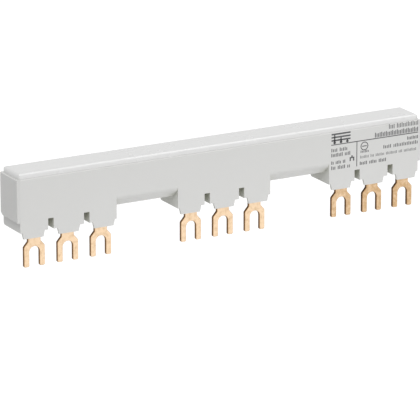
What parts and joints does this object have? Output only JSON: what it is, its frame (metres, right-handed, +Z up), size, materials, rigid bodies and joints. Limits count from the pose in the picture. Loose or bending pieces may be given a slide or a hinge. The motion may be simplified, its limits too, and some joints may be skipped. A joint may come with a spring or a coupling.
{
  "type": "comb busbar",
  "caption": "Three-phase comb busbar: a slim moulded bar with stepped terminal skirts and open copper forks that links motor starters mounted side by side.",
  "frame": {"origin": "centre of the round end of the middle fork's screw slot, on the front face of the copper", "axes": "+X along the bar to the right, +Y from the front to the back, +Z up from the forks to the cover"},
  "size_m": [0.1666, 0.0136, 0.0348],
  "materials": {
    "housing_plastic": "fine moulded light grey, matt",
    "cover_plastic": "fine moulded light grey, faint sheen",
    "end_cap_plastic": "fine moulded light grey, matt",
    "copper": "bare rolled copper, stamped, satin",
    "separator_plastic": "extruded insulating strip, matt"
  },
  "bodies": {
    "root": {"housing": "housing_plastic", "cover": "cover_plastic", "end_cap_left": "end_cap_plastic", "end_cap_right": "end_cap_plastic", "phase_comb_l1": "copper", "phase_comb_l2": "copper", "phase_comb_l3": "copper", "separator_l1_l2": "separator_plastic", "separator_l2_l3": "separator_plastic"}
  },
  "joints": []
}
